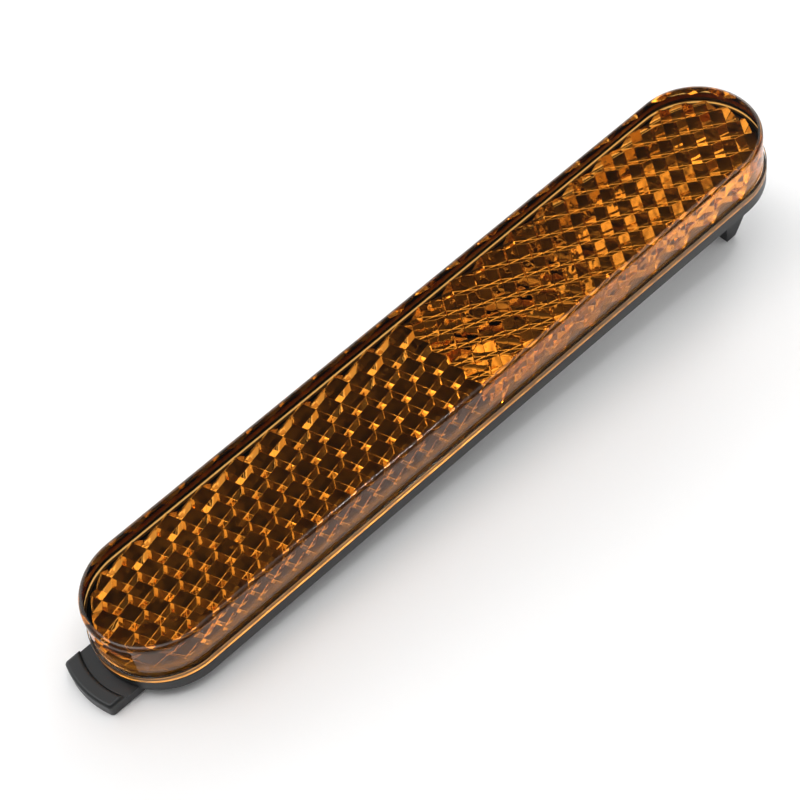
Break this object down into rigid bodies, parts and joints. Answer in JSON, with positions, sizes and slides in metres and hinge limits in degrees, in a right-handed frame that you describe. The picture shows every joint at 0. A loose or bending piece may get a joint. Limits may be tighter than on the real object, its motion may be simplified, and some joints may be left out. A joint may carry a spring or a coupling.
{
  "type": "side reflex reflector",
  "caption": "Amber stadium-shaped reflex reflector: corner-cube lens welded to a black carrier with a hooked tongue and a snap leg.",
  "frame": {"origin": "centre of the carrier's flat back, on its spine, midway between the centres of the two round ends", "axes": "+X along the body towards the snap leg's end, +Z out of the lens"},
  "size_m": [0.1241, 0.02, 0.0204],
  "materials": {
    "amber_lens": "clear amber acrylic, polished outside, corner-cube facets inside",
    "black_carrier": "moulded black ABS, satin"
  },
  "bodies": {
    "root": {"lens": "amber_lens", "carrier": "black_carrier"}
  },
  "joints": []
}
